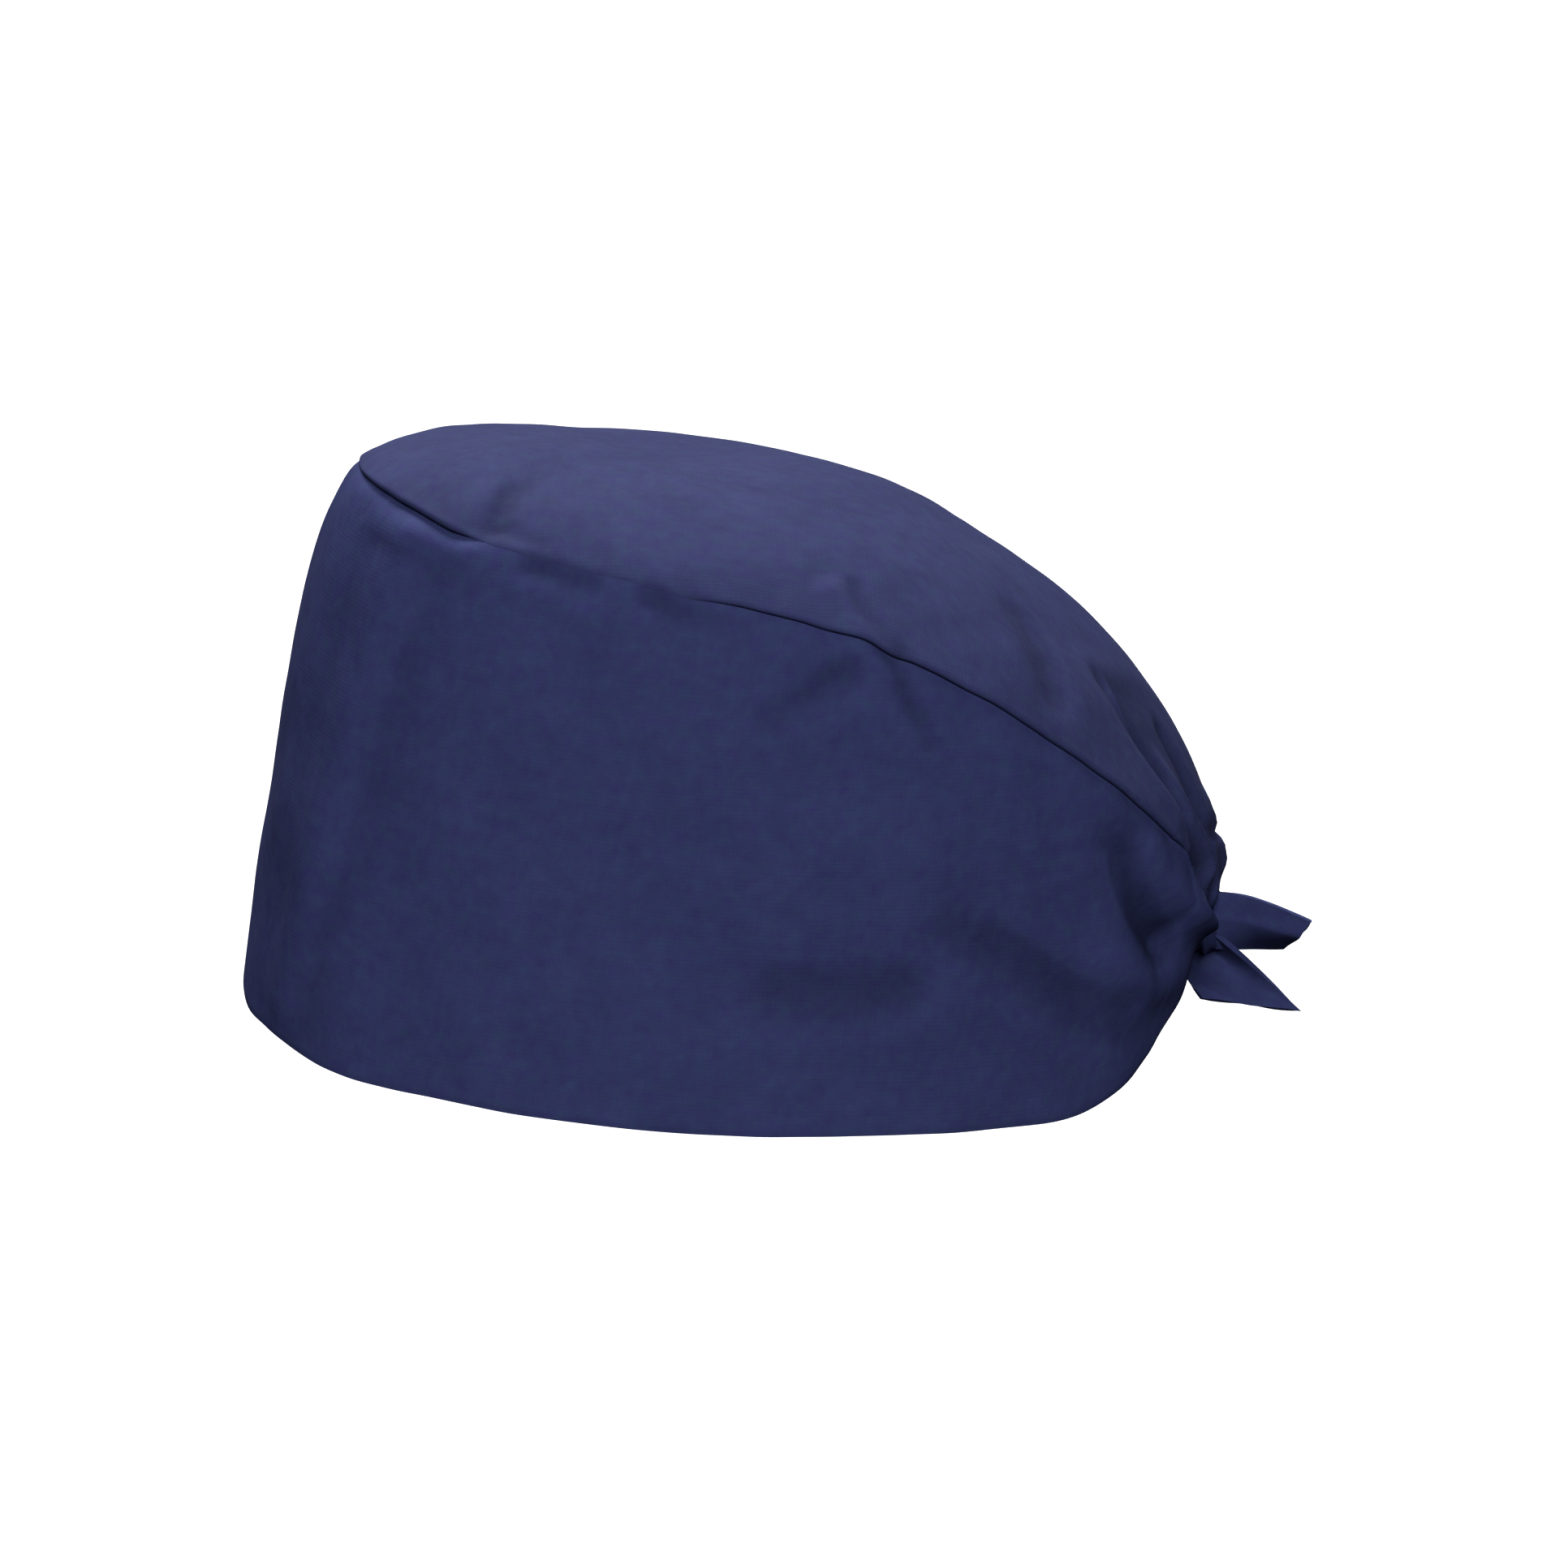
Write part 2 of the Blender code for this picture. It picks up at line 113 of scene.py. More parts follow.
# Broad folds: three places by turn in degrees and level, then the width as a share of FOLD_WIDTH,
# and the depths at both ends as shares of FOLD_DEPTH, above 0 for a ridge. The CAD model has these
Fold = namedtuple("Fold", "turn_a level_a turn_b level_b turn_c level_c width deep_a deep_c")
FOLDS = (
    # gathers of the crown into the knot
    Fold(150, 1.34, 152, 1.16, 163, 1.02, 0.48, -0.30, -0.90),
    Fold(167, 1.30, 168, 1.14, 171, 1.02, 0.36, -0.20, -0.65),
    Fold(-149, 1.36, -152, 1.18, -161, 1.02, 0.50, -0.30, -0.85),
    Fold(-166, 1.26, -168, 1.12, -171, 1.02, 0.38, -0.20, -0.60),
    Fold(158, 1.22, 160, 1.12, 167, 1.04, 0.40, 0.10, 0.45),
    Fold(-157, 1.22, -160, 1.12, -167, 1.04, 0.40, 0.10, 0.40),
    Fold(176, 1.16, 178, 1.10, 180, 1.05, 0.50, 0.20, 0.60),
    # scoops of the band beside the knot
    Fold(134, 0.72, 137, 0.50, 154, 0.36, 0.62, -0.35, -1.00),
    Fold(142, 0.80, 150, 0.66, 164, 0.60, 0.55, 0.20, 0.45),
    Fold(-136, 0.72, -139, 0.52, -155, 0.38, 0.60, -0.30, -0.90),
    Fold(-143, 0.82, -151, 0.66, -164, 0.60, 0.55, 0.20, 0.45),
    # long soft folds low on the band towards the nape
    Fold(112, 0.36, 127, 0.27, 149, 0.13, 0.85, -0.15, -0.38),
    Fold(-108, 0.30, -126, 0.25, -148, 0.14, 0.85, -0.12, -0.36),
    Fold(94, 0.20, 100, 0.21, 107, 0.23, 0.90, -0.20, -0.20),
    # pleats that cross the seam at the ears
    Fold(98, 1.19, 101, 0.99, 107, 0.75, 0.30, -0.42, -0.12),
    Fold(95, 1.14, 97, 1.02, 99, 0.92, 0.45, 0.22, 0.12),
    Fold(-93, 1.16, -95, 0.99, -99, 0.80, 0.32, -0.38, -0.12),
    Fold(89, 0.68, 93, 0.78, 97, 0.88, 0.50, -0.12, -0.25),
    # creases under the crown's front corners
    Fold(48, 0.97, 41, 0.92, 36, 0.80, 0.50, -0.25, -0.18),
    Fold(-50, 0.97, -43, 0.91, -38, 0.80, 0.50, -0.22, -0.16),
    Fold(61, 0.99, 62, 0.95, 64, 0.90, 0.55, -0.24, -0.10),
    Fold(74, 0.97, 76, 0.92, 79, 0.87, 0.55, -0.22, -0.10),
    Fold(-70, 0.98, -71, 0.93, -73, 0.87, 0.55, -0.22, -0.10),
    # dents of the crown
    Fold(44, 1.32, 46, 1.20, 48, 1.08, 0.50, -0.24, -0.20),
    Fold(-58, 1.30, -60, 1.20, -61, 1.08, 0.55, -0.20, -0.18),
    Fold(134, 1.40, 131, 1.28, 128, 1.16, 0.75, -0.18, -0.22),
    Fold(-128, 1.42, -127, 1.28, -125, 1.14, 0.75, -0.18, -0.22),
)

# Folds that the CAD model leaves out, and others that soften, cancel or move its own
SOFT_FOLDS = (
    # the long fold low on the band, and the hollow in front of it
    Fold(118, 0.36, 131, 0.29, 141, 0.24, 0.45, -0.12, -0.12),
    Fold(-112, 0.32, -129, 0.27, -140, 0.24, 0.45, -0.10, -0.12),
    # the band's front corners, and the facet over the left one
    Fold(36, 0.86, 33, 0.45, 27, 0.05, 0.85, 0.36, 0.26),
    Fold(-37, 0.86, -34, 0.45, -28, 0.05, 0.85, 0.34, 0.26),
    Fold(26, 0.88, 37, 0.90, 47, 0.92, 0.46, 0.14, 0.36),
    Fold(48, 0.97, 41, 0.92, 36, 0.80, 0.50, 0.22, 0.14),
    # dents of the crown behind its front corner
    Fold(43, 1.26, 46, 1.16, 48, 1.07, 0.28, -0.08, -0.14),
    Fold(50, 1.07, 53, 1.055, 57, 1.05, 0.28, -0.12, -0.06),
    # the hollows of the band where the seam lies flat sit lower than those of the CAD model
    Fold(61, 0.99, 62, 0.95, 64, 0.90, 0.55, 0.21, 0.06),
    Fold(74, 0.97, 76, 0.92, 79, 0.87, 0.55, 0.13, 0.03),
    Fold(56, 0.945, 61, 0.938, 66, 0.935, 0.34, -0.22, -0.12),
    Fold(73, 0.94, 77, 0.93, 82, 0.92, 0.34, -0.16, -0.10),
    # the pinch over the last puff of the crown, above the knot, and a lower ridge down that puff
    Fold(165, 1.14, 180, 1.105, 195, 1.14, 0.22, -0.26, -0.26),
    Fold(176, 1.16, 178, 1.10, 180, 1.05, 0.50, -0.05, -0.20),
    # the long fold low on the band ends softly
    Fold(138, 0.20, 144, 0.165, 149, 0.13, 0.85, 0.04, 0.24),
    Fold(-137, 0.20, -143, 0.17, -148, 0.14, 0.85, 0.04, 0.24),
    # the pleats at the ears and the dent at the crown's front corner start softly
    Fold(98, 1.19, 99.5, 1.10, 101, 1.02, 0.30, 0.28, 0.12),
    Fold(-93, 1.16, -94, 1.08, -95, 1.00, 0.32, 0.24, 0.10),
    Fold(44, 1.32, 45, 1.27, 46, 1.22, 0.50, 0.18, 0.05),
    # the scoops lie behind their edges, and the cloth swells between them and the gathers
    Fold(134, 0.72, 137, 0.50, 154, 0.36, 0.62, 0.22, 0.80),
    Fold(-136, 0.72, -139, 0.52, -155, 0.38, 0.60, 0.18, 0.72),
    Fold(137.5, 0.74, 142, 0.56, 147.5, 0.445, 0.82, -0.20, -0.80),
    Fold(-138.5, 0.74, -143, 0.56, -148.5, 0.45, 0.82, -0.20, -0.76),
    Fold(149, 0.78, 155, 0.62, 162, 0.49, 0.48, 0.08, 0.22),
    Fold(-150, 0.78, -156, 0.62, -163, 0.50, 0.48, 0.08, 0.20),
)

# Pleats: the cloth rises to an edge along the path, falls away beyond it, and comes back over the
# reach. drops are shares of FOLD_DEPTH, fall and reach of FOLD_WIDTH, and side is 1 where the low
# side has the higher turn and -1 where it has the lower
Pleat = namedtuple("Pleat", "turn_a level_a turn_b level_b turn_c level_c drop_a drop_c fall reach side")
PLEATS = (
    # the gathers that run down the crown and past the seam to the knot
    Pleat(154, 1.42, 151.5, 0.93, 171, 0.27, 0.95, 1.45, 0.22, 0.85, 1),
    Pleat(163, 1.22, 160, 1.12, 162, 0.98, 0.12, 0.44, 0.20, 0.50, 1),
    Pleat(-155, 1.41, -152, 0.93, -171, 0.28, 0.90, 1.40, 0.22, 0.85, -1),
    Pleat(-164, 1.22, -161, 1.12, -163, 0.98, 0.12, 0.40, 0.20, 0.50, -1),
    # the edges of the scoops beside the knot
    Pleat(133, 0.72, 138.5, 0.49, 154, 0.325, 0.36, 0.62, 0.38, 1.10, 1),
    Pleat(-134, 0.72, -139.5, 0.495, -155, 0.335, 0.28, 0.62, 0.38, 1.10, -1),
    # the pleats above and below the seam at the ears
    Pleat(98, 1.18, 100.5, 1.04, 103, 0.88, 0.05, 0.16, 0.16, 0.50, 1),
    Pleat(-93, 1.17, -95, 1.02, -98, 0.86, 0.05, 0.14, 0.16, 0.50, -1),
)
CREASE_DEPTH = 0.0013    # depth of fold, in metres, over which most of the painted shade in the folds comes in
PLEAT_FADE = 0.15        # share of a pleat's length over which it fades out at each end
PLEAT_RISE = 0.32        # share of the drop by which the cloth rises before a pleat's edge
PLEAT_EASE = 1.4         # reach of that rise, as a share of FOLD_WIDTH

# How crisply the crown's edge stands over the seam, by turn in degrees: 0 is flat, 1 is crisp and
# more than 1 stands out further
Crisp = namedtuple("Crisp", "turn share")
SEAM_CRISP = (
    Crisp(-180, 0.5),
    Crisp(-172, 0.0),
    Crisp(-153, 0.0),
    Crisp(-147, 1.0),
    Crisp(-90, 0.9),
    Crisp(-82, 0.2),
    Crisp(-56, 0.1),
    Crisp(-50, 0.8),
    Crisp(-26, 1.1),
    Crisp(-8, 0.4),
    Crisp(6, 0.4),
    Crisp(22, 1.3),
    Crisp(42, 1.6),
    Crisp(48, 0.0),
    Crisp(76, 0.0),
    Crisp(84, 0.7),
    Crisp(100, 1.0),
    Crisp(147, 1.0),
    Crisp(152, 0.0),
    Crisp(172, 0.0),
    Crisp(180, 0.5),
)

# Waves in the cloth: length and height in metres, then how many directions they come from
Wave = namedtuple("Wave", "length height directions")
WAVES = (
    Wave(0.052, 0.00026, 5),
    Wave(0.027, 0.00010, 6),
    Wave(0.012, 0.00003, 7),
)
PUCKER_PITCH = 0.0095
PUCKER_HEIGHT = 0.00009
PUCKER_REACH = 0.010
PUCKER_START = 85        # turn in degrees from which the puckers grow to their full height
PUCKER_GROWTH = 60       # degrees over which they do

# Columns of the sheets on each side, by the turn where each zone starts
Zone = namedtuple("Zone", "start columns")
ZONES = (
    Zone(0, 88),
    Zone(85, 56),
    Zone(125, 112),
)
# Rows of the sheets close to the rim and the seam, by their distance from it in metres
RIM_ROWS = (0, 0.0004, 0.0010, 0.0020, 0.0035)
SEAM_ROWS = (0.0075, 0.0055, 0.0042, 0.0032, 0.0024, 0.0017, 0.0011, 0.0006, 0.0002, 0)
CROWN_EDGE_ROWS = (0.0004, 0.0008, 0.0013, 0.0020, 0.0029, 0.0040, 0.0054, 0.0070)
LIP_ANGLES = (-165, -135, -110, -90, -70, -50, -30, -12)
SLIP_ROWS = (0.0016, 0.0014, 0.0012, 0.0010, 0.0008, 0.0006, 0.0004, 0.0002)
NAPE_COLUMNS = 24
END_COLUMNS = 10
BAND_ROWS = 68
CROWN_ROWS = 62
FOLD_STEPS = 12


def through(table, place):
    """Smooth readings between rows of a table, at places counted in rows"""
    rows = np.array(table, float)
    last = len(rows) - 1
    place = np.clip(place, 0, last)
    row = np.minimum(place.astype(int), last - 1)
    t = (place - row)[..., None]
    a = rows[np.abs(row - 1)]
    b = rows[row]
    c = rows[row + 1]
    d = rows[last - np.abs(last - row - 2)]
    bend = (2 * a - 5 * b + 4 * c - d) * t ** 2
    return 0.5 * (2 * b + (c - a) * t + bend + (3 * b - a - 3 * c + d) * t ** 3)


def unit(vectors):
    """Vectors of length 1 in the same directions"""
    return vectors / np.linalg.norm(vectors, axis=-1, keepdims=True)


def power(values, exponent):
    """Powers that keep each value's sign"""
    return np.sign(values) * np.abs(values) ** exponent


def oval(turn, length, width, front, fullness):
    """Points on a plan oval that starts at the brow, and the ways in from them"""
    across = power(np.sin(turn), 2 / fullness)
    along = -power(np.cos(turn), 2 / fullness)
    flat = np.zeros_like(turn)
    point = np.stack([width / 2 * across, front + length / 2 * (1 + along), flat], axis=-1)
    inward = np.stack([
        -power(across, fullness - 1) / (width / 2),
        -power(along, fullness - 1) / (length / 2),
        flat,
    ], axis=-1)
    return point, unit(inward)


def plain(turn, level):
    """Points of the cap's plain form: level 0 is the rim, 1 the seam, 2 the crown's middle"""
    turn, level = np.broadcast_arrays(np.asarray(turn, float), np.asarray(level, float))
    row = through(STATIONS, np.abs(np.arctan2(np.sin(turn), np.cos(turn))) / TURN_STEP)
    value = {name: row[..., i:i + 1] for i, name in enumerate(Station._fields)}
    up = np.array([0, 0, 1.0])
    rim_front = -RIM_LENGTH / 2
    seam_front = rim_front + SEAM_SETBACK
    rim, rim_in = oval(turn, RIM_LENGTH, RIM_WIDTH, rim_front, RIM_FULLNESS)
    seam, seam_in = oval(turn, SEAM_LENGTH, SEAM_WIDTH, seam_front, SEAM_FULLNESS)
    rim = rim + up * value["rim"] * CAP_HEIGHT
    seam = seam + up * value["seam"] * CAP_HEIGHT
    side = seam - rim
    side -= rim_in * np.sum(side * rim_in, axis=-1, keepdims=True)
    high = np.linalg.norm(side, axis=-1, keepdims=True)
    low_hand = rim + side * BELLY
    low_hand += rim_in * high * BELLY * np.tan(np.radians(value["lean_low"]))
    high_hand = seam - side * value["shoulder"]
    high_hand -= seam_in * high * value["shoulder"] * np.tan(np.radians(value["lean_high"]))
    centre = np.array([0, seam_front + CENTRE_PLACE * SEAM_LENGTH, CENTRE_HEIGHT * CAP_HEIGHT])
    span = centre - seam
    length = np.linalg.norm(span, axis=-1, keepdims=True)
    flat = span * np.array([1, 1, 0])
    rise = np.radians(value["rise"])
    start = seam + (unit(flat) * np.cos(rise) + up * np.sin(rise)) * length * value["reach"]
    crest = -flat * value["crest"]
    end = centre + crest + up * CENTRE_SLOPE * crest[..., 1:2]
    t = np.where(level <= 1, level, level - 1)[..., None]
    s = 1 - t
    band = rim * s ** 3 + low_hand * 3 * s * s * t + high_hand * 3 * s * t * t + seam * t ** 3
    crown = seam * s ** 3 + start * 3 * s * s * t + end * 3 * s * t * t + centre * t ** 3
    return np.where((level <= 1)[..., None], band, crown)


def way_out(turn, level):
    """Directions straight out of the plain form"""
    level = np.minimum(level, 2 - NUDGE)
    around = plain(turn + NUDGE, level) - plain(turn - NUDGE, level)
    up = plain(turn, level + NUDGE) - plain(turn, np.maximum(level - NUDGE, 0))
    return unit(np.cross(around, up))


def fold_path(fold):
    """Points along a fold on the plain form"""
    t = np.linspace(0, 1, FOLD_STEPS + 1)
    s = 1 - t
    turn = fold.turn_a * s * (s - t) + fold.turn_b * 4 * s * t + fold.turn_c * t * (t - s)
    level = fold.level_a * s * (s - t) + fold.level_b * 4 * s * t + fold.level_c * t * (t - s)
    return plain(np.radians(turn), level)


def beside(points, out, fold):
    """Distance from a fold's path, above 0 on its left, and the share run along it"""
    path = fold_path(fold)
    nearest = np.full(points.shape[:-1], np.inf)
    along = np.zeros_like(nearest)
    hand = np.ones_like(nearest)
    for step in range(FOLD_STEPS):
        run = path[step + 1] - path[step]
        share = np.clip((points - path[step]) @ run / (run @ run), 0, 1)
        offset = points - path[step] - share[..., None] * run
        far = np.linalg.norm(offset, axis=-1)
        closer = far < nearest
        along = np.where(closer, (step + share) / FOLD_STEPS, along)
        hand = np.where(closer, np.sum(np.cross(out, run) * offset, axis=-1), hand)
        nearest = np.minimum(far, nearest)
    return np.where(hand < 0, -1, 1) * nearest, along


def fold_relief(points, out):
    """How far the folds and the pleats move each point out of the cloth"""
    relief = np.zeros(points.shape[:-1])
    for fold in FOLDS + SOFT_FOLDS:
        far, along = beside(points, out, fold)
        x = far / (fold.width * FOLD_WIDTH)
        depth = fold.deep_a + (fold.deep_c - fold.deep_a) * along
        relief += FOLD_DEPTH * depth * np.exp(-x ** 2) * (1 - x ** 2)
    for pleat in PLEATS:
        far, along = beside(points, out, pleat)
        drop = pleat.drop_a + (pleat.drop_c - pleat.drop_a) * along
        fade = np.clip(np.minimum(along, 1 - along) / PLEAT_FADE, 0, 1)
        drop = drop * fade * fade * (3 - 2 * fade)
        low = far * pleat.side
        rise = PLEAT_RISE * np.exp(-np.abs(low) / (PLEAT_EASE * FOLD_WIDTH))
        fallen = np.exp(-np.abs(low) / (pleat.fall * FOLD_WIDTH))
        fallen -= (1 - PLEAT_RISE) * np.exp(-np.abs(low) / (pleat.reach * FOLD_WIDTH))
        relief += FOLD_DEPTH * drop * np.where(low < 0, rise, fallen)
    return relief


def crease_share(relief):
    """How deep inside the folds each point lies, from 0 outside them towards 1, which sets the painted
    shade in the folds
    """
    return 1 - np.exp(-np.clip(-relief, 0, None) / CREASE_DEPTH)


def cloth_waves(points):
    """Soft unevenness of cloth that was folded and worn"""
    chance = np.random.default_rng(5)
    relief = np.zeros(points.shape[:-1])
    for wave in WAVES:
        for turn in range(wave.directions):
            run = unit(chance.normal(size=3))
            phase = chance.uniform(0, math.tau)
            length = wave.length * chance.uniform(0.8, 1.25)
            relief += wave.height * np.sin(points @ run * math.tau / length + phase)
    return relief


def seam_crisp(turn):
    """How crisp the seam is at each turn"""
    turns = [row.turn for row in SEAM_CRISP]
    return np.interp(np.degrees(turn), turns, [row.share for row in SEAM_CRISP])


def puckers(turn, far):
    """Small gathers of the cloth that the seam's thread draws up, fading away from it"""
    along = turn * (SEAM_LENGTH + SEAM_WIDTH) / 4
    swing = 0.35 * np.sin(along / 0.023 + 1.0) + 0.25 * np.sin(along / 0.041 + 2.2)
    wave = np.sin(along * math.tau / PUCKER_PITCH + swing * math.tau)
    growth = (np.abs(turn) - math.radians(PUCKER_START)) / math.radians(PUCKER_GROWTH)
    gathered = 0.45 + 0.55 * np.clip(growth, 0, 1)
    return PUCKER_HEIGHT * gathered * wave * np.exp(-np.abs(far) / PUCKER_REACH)


def end_turn():
    """Turn at which the band ends beside the knot"""
    reach = (KNOT_WIDTH / 2 + CLEARANCE) / (SEAM_WIDTH / 2)
    return math.pi - math.asin(reach ** (SEAM_FULLNESS / 2))


def column_turns():
    """Turns of the columns from one end of the band round the brow to the other"""
    starts = [math.radians(zone.start) for zone in ZONES] + [end_turn()]
    side = [0.0]
    for zone, start, stop in zip(ZONES, starts, starts[1:]):
        side += list(np.linspace(start, stop, zone.columns + 1)[1:])
    return np.array([-turn for turn in reversed(side[1:])] + side)


def metric_speed(turn, level):
    """Metres of cloth for one level, at a turn"""
    step = plain(turn, level + NUDGE / 4) - plain(turn, level)
    return np.linalg.norm(step, axis=-1) / (NUDGE / 4)


def run_lengths(grid, axis):
    """Distance of each point along its column or row, in metres"""
    steps = np.linalg.norm(np.diff(grid, axis=axis), axis=-1)
    pad = [(0, 0), (0, 0)]
    pad[axis] = (1, 0)
    return np.pad(np.cumsum(steps, axis=axis), pad)


def select_only(piece):
    """Select one piece and make it active"""
    bpy.ops.object.select_all(action="DESELECT")
    piece.select_set(True)
    bpy.context.view_layer.objects.active = piece


def add_sheet(name, grid, cut, fold_dye_and_shade, wall, middle, material):
    """A sheet of cloth through a grid of points. cut is each point's place on the flat cloth,
    crease is its share inside a fold, and middle is -1 for a wall inside the points and 0 for one
    on both sides"""
    columns = grid.shape[0] - 1
    rows = grid.shape[1] - 1
    bpy.ops.object.select_all(action="DESELECT")
    bpy.ops.mesh.primitive_grid_add(x_subdivisions=columns, y_subdivisions=rows, size=1)
    piece = bpy.context.active_object
    piece.name = name
    mesh = piece.data
    mesh.name = name
    places = np.empty(len(mesh.vertices) * 3)
    mesh.vertices.foreach_get("co", places)
    places = places.reshape(-1, 3)
    i = np.rint((places[:, 0] + 0.5) * columns).astype(int)
    j = np.rint((places[:, 1] + 0.5) * rows).astype(int)
    corners = np.empty(len(mesh.loops), np.int32)
    mesh.loops.foreach_get("vertex_index", corners)
    mesh.uv_layers[0].name = "cut"
    mesh.uv_layers["cut"].data.foreach_set("uv", cut[i, j][corners].ravel())
    mesh.vertices.foreach_set("co", grid[i, j].ravel())
    # each point's share inside a fold, which the material uses to paint shade into the folds
    shares = mesh.attributes.new("fold_dye_and_shade", "FLOAT", "POINT")
    shares.data.foreach_set("value", fold_dye_and_shade[i, j].astype(np.float32))
    mesh.update()
    select_only(piece)
    bpy.ops.object.mode_set(mode="EDIT")
    bpy.ops.mesh.select_all(action="SELECT")
    bpy.ops.mesh.remove_doubles(threshold=MERGE)
    bpy.ops.object.mode_set(mode="OBJECT")
    shell = piece.modifiers.new("Wall", "SOLIDIFY")
    shell.thickness = wall
    shell.offset = middle
    bpy.ops.object.modifier_apply(modifier=shell.name)
    bpy.ops.object.shade_smooth_by_angle(angle=math.radians(55))
    piece.data.materials.append(material)
    return piece


def add_band(material):
    """The long side band, with its top edge dipped under the crown's"""
    turn = column_turns()[:, None]
    low_level = np.array(RIM_ROWS) / metric_speed(turn, 0 * turn)
    high_level = 1 - np.array(SEAM_ROWS) / metric_speed(turn, 0 * turn + 1 - NUDGE)
    share = np.linspace(0, 1, BAND_ROWS)[1:-1]
    middle = low_level[:, -1:] * (1 - share) + high_level[:, :1] * share
    level = np.concatenate([low_level, middle, high_level], axis=1)
    turns = np.broadcast_to(turn, level.shape)
    points = plain(turns, level)
    out = way_out(turns, level)
    far = np.linalg.norm(points - plain(turns, 1), axis=-1)
    rise = np.linalg.norm(points - plain(turns, 0), axis=-1)
    crisp = seam_crisp(turns)
    folds = fold_relief(points, out)
    relief = folds + cloth_waves(points) + puckers(turns, far)
    relief += (BAND_STEP + CRISP_STEP * crisp) * np.exp(-far / SOFT_REACH)
    tuck = FLAT_TUCK + (1 - FLAT_TUCK) * crisp
    relief -= tuck * SEAM_TUCK * np.exp(-(far / SEAM_EASE) ** 2)
    relief -= (1 - crisp) * SEAM_ROUND * np.exp(-far / ROUND_REACH)
    relief -= HEM_TURN * np.exp(-(rise / HEM_REACH) ** 2)
    grid = points + out * relief[..., None]
    grid = np.concatenate([grid, grid[:, -1:] - out[:, -1:] * TOP_TURN], axis=1)
    # both ends narrow into the knot
    share = np.linspace(0, 1, END_COLUMNS + 1)[1:, None, None]
    inner = knot_middle() - np.array([0, CLOTH, 0])
    for end, order in ((grid[0], -1), (grid[-1], 1)):
        target = inner + (end - inner) * np.array(END_SIZE)
        ease = share * share * (3 - 2 * share)
        drawn = end + (target - end) * np.concatenate([share, ease, ease], axis=2)
        drawn = drawn[::order]
        grid = np.concatenate([grid, drawn] if order > 0 else [drawn, grid], axis=0)
    along = run_lengths(grid[:, len(RIM_ROWS) + BAND_ROWS // 2, None], 0)
    cut = np.stack([np.broadcast_to(along, grid.shape[:2]), run_lengths(grid, 1)], axis=-1)
    fold_dye_and_shade = np.pad(crease_share(folds), [(END_COLUMNS, END_COLUMNS), (0, 1)], mode="edge")
    return add_sheet("band_cloth", grid, cut, fold_dye_and_shade, POPLIN, -1, material)


def add_crown(material):
    """The gathered crown, whose rolled edge hangs a little over the seam"""
    turn = column_turns()
    nape = np.linspace(turn[-1], math.tau - turn[-1], NAPE_COLUMNS + 1)[1:]
    turn = np.concatenate([turn, np.where(nape > math.pi, nape - math.tau, nape)])[:, None]
    crisp = seam_crisp(turn)
    near_level = 1 + np.array(CROWN_EDGE_ROWS) / metric_speed(turn, 0 * turn + 1)
    share = np.linspace(0, 1, CROWN_ROWS + 1)[1:]
    level = np.concatenate([
        0 * turn + 1,
        near_level,
        near_level[:, -1:] * (1 - share) + 2 * share,
    ], axis=1)
    turns = np.broadcast_to(turn, level.shape)
    points = plain(turns, level)
    out = way_out(turns, level)
    far = np.linalg.norm(points - points[:, :1], axis=-1)
    proud = CROWN_PROUD - (CROWN_PROUD - SEAM_STEP) * np.exp(-far / SOFT_REACH)
    proud += crisp * LIP_SWELL * np.exp(-far / ROUND_REACH)
    proud -= (1 - crisp) * FLAT_SINK * np.exp(-far / SOFT_REACH)
    proud -= (1 - crisp) * SEAM_ROUND * np.exp(-far / ROUND_REACH)
    folds = fold_relief(points, out)
    relief = folds + cloth_waves(points) + puckers(turns, far)
    grid = points + out * (proud + relief)[..., None]
    # the rolled edge, from inside the seam round to the crown's face
    seam = grid[:, :1]
    climb = unit(grid[:, 2:3] - seam)
    face = out[:, :1]
    roll = np.radians(np.array(LIP_ANGLES))[None, :, None]
    drop = (LIP_DROP * (FLAT_DROP + (1 - FLAT_DROP) * crisp))[..., None]
    lip = (LIP * (FLAT_LIP + (1 - FLAT_LIP) * crisp))[..., None]
    edge = seam - face * lip * (1 - np.cos(roll)) + climb * (lip * (1 + np.sin(roll)) - drop)
    # where the seam lies flat there is no roll: the crown slips in under the band instead
    below = np.array(SLIP_ROWS)[:, None]
    slope = SEAM_ROUND / ROUND_REACH + below / SLIP_BEND
    slipped = seam - climb * below - face * slope * below
    flat = np.clip(1 - crisp, 0, 1)[..., None]
    edge = edge + (slipped - edge) * flat * flat
    grid = np.concatenate([edge, grid[:, 1:]], axis=1)
    radius = run_lengths(grid[:, ::-1], 1)[:, ::-1]
    cut = np.stack([radius * np.sin(turn), -radius * np.cos(turn)], axis=-1)
    fold_dye_and_shade = np.pad(crease_share(folds), [(0, 0), (roll.shape[1] - 1, 0)], mode="edge")
    return add_sheet("crown_cloth", grid, cut, fold_dye_and_shade, POPLIN, -1, material)


def knot_middle():
    """The knot hangs just under the crown's edge, between the ends of the band"""
    turn = np.array([math.pi])
    height = np.linalg.norm(plain(turn, 1) - plain(turn, 0))
    hem = plain(turn, 1 - SEAM_LAP / height)[0]
    return np.array([0, hem[1], hem[2] - CLEARANCE - KNOT_HEIGHT / 2])


